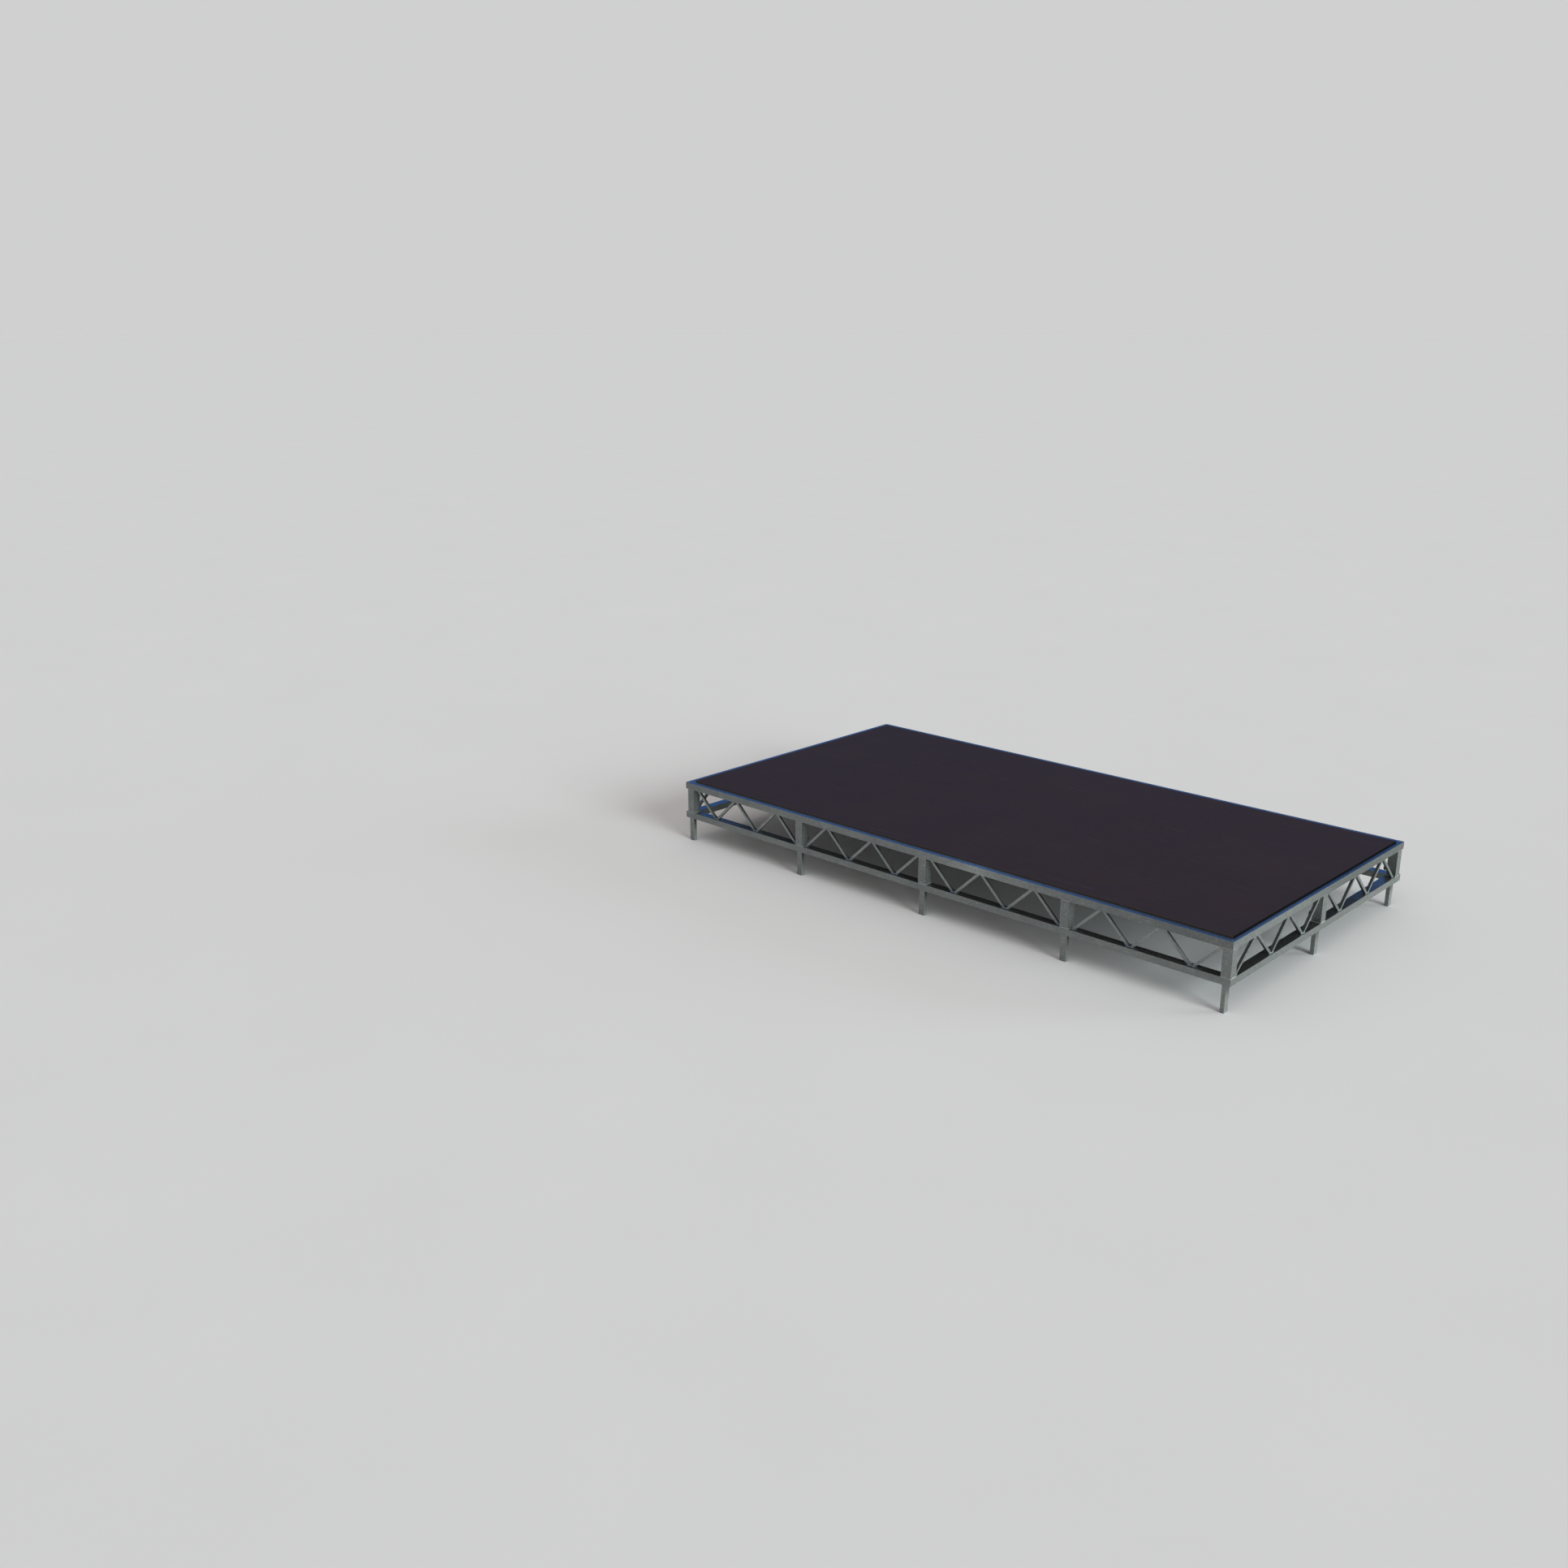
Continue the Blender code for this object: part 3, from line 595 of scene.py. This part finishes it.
# welds along the mitres of the chord rings
bm = bmesh.new()
for sx in (-1, 1):
    for sy in (-1, 1):
        def at(inset, z):
            return Vector((sx * (LENGTH / 2 - inset), sy * (WIDTH / 2 - inset), z))
        for z0, z1 in ((BOT_Z, BOT_TOP), (TOP_Z, RING_TOP)):
            bead(bm, [at(1.45 * MM, z0 + 1.5 * MM), at(1.45 * MM, z1 - 1.5 * MM)], r=1.35 * MM, pitch=2.2 * MM)
            bead(bm, [at(CHORD_D + 0.2 * MM, z0 + 2 * MM), at(CHORD_D + 0.2 * MM, z1 - 2 * MM)], r=1.8 * MM)
        bead(bm, [at(2.2 * MM, RING_TOP - 0.9 * MM), at(34 * MM, RING_TOP - 0.9 * MM)], r=1.15 * MM, pitch=2.2 * MM)
mesh_piece("weld_beads_corners", bm, [WELD], "frame", smooth=True)

# --------------------------------------------- clamp screws, high detail


def lathe(bm, prof, seg, mat_index=0, lobes=0, depth=0.0, from_r=0.0):
    rings = []
    for r, z in prof:
        ring = []
        for j in range(seg):
            a = 2 * math.pi * j / seg
            f = 1.0
            if lobes and r > from_r:
                f = 1.0 - depth * (0.5 - 0.5 * math.cos(lobes * a)) ** 1.3
            ring.append(bm.verts.new((r * f * math.cos(a), r * f * math.sin(a), z)))
        rings.append(ring)
    fs = []
    for ra, rb in zip(rings, rings[1:]):
        for j in range(seg):
            fs.append(bm.faces.new((ra[j], ra[(j + 1) % seg], rb[(j + 1) % seg], rb[j])))
    fs.append(bm.faces.new(list(reversed(rings[0]))))
    fs.append(bm.faces.new(rings[-1]))
    for f in fs:
        f.material_index = mat_index
        f.smooth = True
    return fs


def thread(bm, r, z0, z1, pitch=1.5 * MM, depth=0.9 * MM, seg=16, mat_index=0):
    """A helical thread as one closed surface: a lathe whose radius follows
    the helix phase."""
    steps = max(2, int((z1 - z0) / (pitch / 4)))
    rings = []
    for i in range(steps + 1):
        z = z0 + (z1 - z0) * i / steps
        ring = []
        for j in range(seg):
            a = 2 * math.pi * j / seg
            ph = (z / pitch + j / seg) % 1.0
            rr = r - depth * abs(2 * ph - 1)
            if i == 0:
                rr = r - depth * 1.3
            ring.append(bm.verts.new((rr * math.cos(a), rr * math.sin(a), z)))
        rings.append(ring)
    for ra, rb in zip(rings, rings[1:]):
        for j in range(seg):
            f = bm.faces.new((ra[j], ra[(j + 1) % seg], rb[(j + 1) % seg], rb[j]))
            f.material_index = mat_index
            f.smooth = True
    for f in (bm.faces.new(list(reversed(rings[0]))), bm.faces.new(rings[-1])):
        f.material_index = mat_index


for name, px, py, wide, d, owner in STATIONS:
    hx, hy = (LEG_W / 2, LEG_D / 2) if wide == "x" else (LEG_D / 2, LEG_W / 2)
    k0, kr, kl = 13 * MM, 17.8 * MM, 21 * MM
    D = Vector((d[0], d[1], 0))
    seat = clamp_seat(px, py, wide, d)
    lx, ly = leg_centre(px, py, wide, d)
    leg_face = Vector((lx, ly, CLAMP_Z)) + D * (hx if d[0] else hy)
    tip = (leg_face - seat).dot(D) + 0.3 * MM
    M = Matrix.Translation(seat) @ frame_of(D).to_4x4()
    bm = bmesh.new()
    thread(bm, 4.9 * MM, tip, k0 + 0.5 * MM)
    bmesh.ops.transform(bm, matrix=M, verts=bm.verts)
    rod = mesh_piece("clamp_rod_" + name, bm, [STEEL], "clamp_screw_" + name)
    bm = bmesh.new()
    prof = [(8.5 * MM, k0), (9 * MM, k0 + 1 * MM), (9 * MM, k0 + 3 * MM), (kr - 3 * MM, k0 + 4 * MM), (kr - 0.8 * MM, k0 + 5.2 * MM),
            (kr, k0 + 7.5 * MM), (kr, k0 + kl - 6 * MM), (kr - 0.9 * MM, k0 + kl - 3.4 * MM), (kr - 3.2 * MM, k0 + kl - 1.2 * MM),
            (kr - 7 * MM, k0 + kl), (6.2 * MM, k0 + kl), (5.8 * MM, k0 + kl - 0.8 * MM), (1.0 * MM, k0 + kl - 0.8 * MM)]
    lathe(bm, prof, 50, lobes=5, depth=0.20, from_r=9.5 * MM)
    bmesh.ops.transform(bm, matrix=M, verts=bm.verts)
    knob = mesh_piece("clamp_knob_" + name, bm, [PLASTIC], "clamp_screw_" + name)
    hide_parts("clamp_" + name)

# ----------------------------------------------------- bolts on the cleats
DECK_X0 = X0 + IN_LEFT
PANEL_L = (LENGTH - IN_LEFT - IN_RIGHT) / 4
JOIST_X = [DECK_X0 + PANEL_L * k / 2 for k in range(1, 8)]
JZ = RING_TOP - 0.030


def hex_bolt(bm, origin, axis):
    """Hex head with washer, standing on the surface at origin."""
    R = frame_of(axis).to_4x4()
    M = Matrix.Translation(Vector(origin)) @ R
    n0 = len(bm.verts)
    before = set(bm.verts)
    lathe(bm, [(9.6 * MM, 0.05 * MM), (10 * MM, 0.4 * MM), (10 * MM, 1.6 * MM), (9.6 * MM, 1.9 * MM)], 24)
    rings = []
    a0 = rng.uniform(0, math.pi / 3)
    for r, z in [(8.4 * MM, 1.95 * MM), (8.5 * MM, 2.1 * MM), (8.5 * MM, 7.2 * MM), (7.4 * MM, 8.1 * MM)]:
        ring = []
        for j in range(12):
            a = a0 + math.pi * j / 6
            rr = r if j % 2 == 0 else r * math.cos(math.pi / 6)
            if r < 8.3 * MM:
                rr = r * 0.96
            ring.append(bm.verts.new((rr * math.cos(a), rr * math.sin(a), z)))
        rings.append(ring)
    for ra, rb in zip(rings, rings[1:]):
        for j in range(12):
            bm.faces.new((ra[j], ra[(j + 1) % 12], rb[(j + 1) % 12], rb[j]))
    bm.faces.new(list(reversed(rings[0])))
    bm.faces.new(rings[-1])
    new = [v for v in bm.verts if v not in before]
    bmesh.ops.transform(bm, matrix=M, verts=new)


bm = bmesh.new()
for x in JOIST_X:
    xs = x - 0.020 - 0.3 * MM
    for s in (1, -1):
        wall = s * (Y0 + CHORD_D)
        hex_bolt(bm, (xs - 5 * MM, wall + s * 32 * MM, JZ), (-1, 0, 0))
        hex_bolt(bm, (xs - 30 * MM, wall + s * 5 * MM, JZ), (0, s, 0))
mesh_piece("cleat_bolts", bm, [STEEL], "frame")

# ------------------------------------------------------------ deck screws
SCREW_Y = [-1.180, -0.590, 0.0, 0.590, 1.180]
screw_xy = []
for k in range(4):
    xa = DECK_X0 + k * PANEL_L
    xb = xa + PANEL_L
    for xs in (xa + (11 * MM if k else 7 * MM), (xa + xb) / 2, xb - 11 * MM):
        for y in SCREW_Y:
            screw_xy.append((k, xs, y))


def add_cone(bm, x, y, z, r1, r2, h, seg=20):
    rings = []
    for r, zz in ((r1, z), (r2, z + h)):
        rings.append([bm.verts.new((x + r * math.cos(2 * math.pi * j / seg), y + r * math.sin(2 * math.pi * j / seg), zz))
                      for j in range(seg)])
    for j in range(seg):
        bm.faces.new((rings[0][j], rings[0][(j + 1) % seg], rings[1][(j + 1) % seg], rings[1][j]))
    bm.faces.new(list(reversed(rings[0])))
    bm.faces.new(rings[1])


for k in range(4):
    bm = bmesh.new()
    for kk, x, y in screw_xy:
        if kk == k:
            add_cone(bm, x, y, DZ1 - 2.6 * MM, 3.2 * MM, 6.0 * MM, 3.2 * MM)
    me = bpy.data.meshes.new("screw_sinks_%d" % k)
    bm.normal_update()
    bm.to_mesh(me)
    bm.free()
    c = bpy.data.objects.new("screw_sinks_%d" % k, me)
    pieces_coll.objects.link(c)
    c.hide_render = True
    c.hide_viewport = False
    c.display_type = "WIRE"
    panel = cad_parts["deck_panel_%d" % (k + 1)]
    md = panel.modifiers.new("sinks", "BOOLEAN")
    md.operation, md.solver, md.object = "DIFFERENCE", "EXACT", c
    soften(panel, 0.7 * MM, segments=2, angle=50, join=0)

bm = bmesh.new()
for kk, x, y in screw_xy:
    # countersunk head with a six-lobe recess
    seg = 24
    turn = rng.uniform(0, math.pi / 3)
    rings = []
    top = DZ1 - 0.35 * MM
    for r, z, lob in ((3.0 * MM, top - 2.2 * MM, 0), (5.2 * MM, top - 0.25 * MM, 0), (5.3 * MM, top, 0),
                      (2.3 * MM, top, 1), (1.9 * MM, top - 1.5 * MM, 1)):
        ring = []
        for j in range(seg):
            a = 2 * math.pi * j / seg
            f = 1.0 - 0.16 * (0.5 - 0.5 * math.cos(6 * a)) if lob else 1.0
            ring.append(bm.verts.new((x + r * f * math.cos(a + turn), y + r * f * math.sin(a + turn), z)))
        rings.append(ring)
    for ra, rb in zip(rings, rings[1:]):
        for j in range(seg):
            bm.faces.new((ra[j], ra[(j + 1) % seg], rb[(j + 1) % seg], rb[j]))
    bm.faces.new(list(reversed(rings[0])))
    bm.faces.new(rings[-1])
mesh_piece("deck_screws", bm, [SCREW], "frame")

# ---------------------------------------- black strips at the short deck edges, standing in for painted shade
def shade_strip(name, edge_x, out):
    """L section: a foot on the chord and a lip up the edge of the deck, with
    rounded corners and small end bevels, made as one closed sweep."""
    w, foot, lip = 7.0 * MM, 2.6 * MM, 3.0 * MM
    z0, z1 = RING_TOP + 0.15 * MM, DZ1 - 0.8 * MM
    g = 0.15 * MM
    prof = [(g, z0), (w, z0), (w, z0 + foot - 0.9 * MM), (w - 0.3 * MM, z0 + foot - 0.3 * MM),
            (w - 0.9 * MM, z0 + foot), (g + lip + 1.2 * MM, z0 + foot), (g + lip + 0.35 * MM, z0 + foot + 0.35 * MM),
            (g + lip, z0 + foot + 1.2 * MM), (g + lip, z1 - 0.9 * MM), (g + lip - 0.3 * MM, z1 - 0.3 * MM),
            (g + lip - 0.9 * MM, z1), (g + 0.4 * MM, z1), (g, z1 - 0.4 * MM)]
    ya, yb = Y0 + IN_FRONT, -Y0 - IN_BACK
    cx, cz = sum(p[0] for p in prof) / len(prof), sum(p[1] for p in prof) / len(prof)
    bm = bmesh.new()
    rings = []
    n = 60
    stops = [(ya, 0.90), (ya + 0.5 * MM, 1.0)] + [(ya + (yb - ya) * i / n, 1.0) for i in range(1, n)] + \
            [(yb - 0.5 * MM, 1.0), (yb, 0.90)]
    for y, k in stops:
        rings.append([bm.verts.new((edge_x + out * (cx + (a - cx) * k), y, cz + (b - cz) * k)) for a, b in prof])
    m = len(prof)
    for ra, rb in zip(rings, rings[1:]):
        for j in range(m):
            bm.faces.new((ra[j], ra[(j + 1) % m], rb[(j + 1) % m], rb[j]))
    bm.faces.new(list(reversed(rings[0])))
    bm.faces.new(rings[-1])
    bmesh.ops.recalc_face_normals(bm, faces=bm.faces)
    return mesh_piece(name, bm, [SHADE_STRIP_MAT], "frame")


# black strips along the short deck edges, as painted shade
shade_strip("edge_shade_strip_right", DECK_X0 + 4 * PANEL_L, 1)
shade_strip("edge_shade_strip_left", DECK_X0, -1)

# ------------------------------------------------------------------- stage
floor_me = bpy.data.meshes.new("floor")
bm = bmesh.new()
bmesh.ops.create_circle(bm, cap_ends=True, segments=96, radius=400)
bm.to_mesh(floor_me)
bm.free()
floor = bpy.data.objects.new("floor", floor_me)
floor.location.z = -0.0005
scene.collection.objects.link(floor)
fm = Nodes("floor_pale")
fn = fm.noise(0.8, 3.0, 0.5)
fm.set(Base_Color=fm.mix(fn, (0.68, 0.68, 0.68), (0.70, 0.70, 0.70)), Roughness=0.95)
floor_me.materials.append(fm.mat)

fm.bsdf.inputs["Specular IOR Level"].default_value = 0.0

world = bpy.data.worlds.new("soft_studio")
scene.world = world
world.use_nodes = True
wn = world.node_tree
wn.nodes.clear()
wo = wn.nodes.new("ShaderNodeOutputWorld")
bg = wn.nodes.new("ShaderNodeBackground")
bg.inputs["Strength"].default_value = 1.0
geo = wn.nodes.new("ShaderNodeTexCoord")
sep = wn.nodes.new("ShaderNodeSeparateXYZ")
wn.links.new(geo.outputs["Generated"], sep.inputs[0])


def rgb(v):
    n = wn.nodes.new("ShaderNodeRGB")
    n.outputs[0].default_value = (*v, 1)
    return n.outputs[0]


def wmix(fac, a, b):
    n = wn.nodes.new("ShaderNodeMix")
    n.data_type = "RGBA"
    wn.links.new(fac, n.inputs[0])
    wn.links.new(a, n.inputs[6])
    wn.links.new(b, n.inputs[7])
    return n.outputs[2]


AMBIENT, BACKDROP = (0.440, 0.420, 0.418), (0.628, 0.630, 0.629)
sky = wn.nodes.new("ShaderNodeValToRGB")
els = sky.color_ramp.elements
els[0].position, els[0].color = 0.0, (0.12, 0.23, 0.38, 1)
els[1].position, els[1].color = 0.12, (0.085, 0.20, 0.43, 1)
e = els.new(0.27)
e.color = (0.032, 0.205, 0.74, 1)
e = els.new(0.60)
e.color = (0.125, 0.215, 0.47, 1)
e = els.new(0.90)
e.color = (0.30, 0.33, 0.38, 1)
wn.links.new(sep.outputs[2], sky.inputs[0])
lp = wn.nodes.new("ShaderNodeLightPath")
c1 = wmix(lp.outputs["Is Glossy Ray"], rgb(AMBIENT), sky.outputs[0])
c2 = wmix(lp.outputs["Is Camera Ray"], c1, rgb(BACKDROP))
wn.links.new(c2, bg.inputs["Color"])
wn.links.new(bg.outputs[0], wo.inputs[0])


def sun(name, azimuth, elevation, strength, soft, color=(1, 1, 1)):
    """Soft distant light; azimuth in degrees from +X towards +Y."""
    li = bpy.data.lights.new(name, "SUN")
    li.energy = strength
    li.color = color
    li.angle = math.radians(soft)
    ob = bpy.data.objects.new(name, li)
    a, e = math.radians(azimuth), math.radians(elevation)
    d = Vector((math.cos(a) * math.cos(e), math.sin(a) * math.cos(e), math.sin(e)))
    ob.rotation_euler = (-d).to_track_quat("-Z", "Y").to_euler()
    scene.collection.objects.link(ob)
    return ob


sun("key_right", -9, 18, 3.0, 30, (0.90, 1.0, 1.0))
sun("rim_right", 44, 9, 1.5, 22, (0.85, 1.0, 1.03))
sun("top_soft", -60, 62, 0.50, 60, (1.0, 0.88, 0.87))

cam_d = bpy.data.cameras.new("cam")
cam_d.sensor_fit = "HORIZONTAL"
cam_d.sensor_width = 36.0
cam_d.lens = 35.04
cam_d.clip_end = 2000
cam = bpy.data.objects.new("cam", cam_d)
cam.location = (6.51515, -9.6583, 4.2433)
yaw, pitch = math.radians(43.374), math.radians(17.040)
fwd = Vector((-math.sin(yaw) * math.cos(pitch), math.cos(yaw) * math.cos(pitch), -math.sin(pitch)))
cam.rotation_euler = fwd.to_track_quat("-Z", "Y").to_euler()
scene.collection.objects.link(cam)
scene.camera = cam

scene.view_settings.view_transform = "Standard"
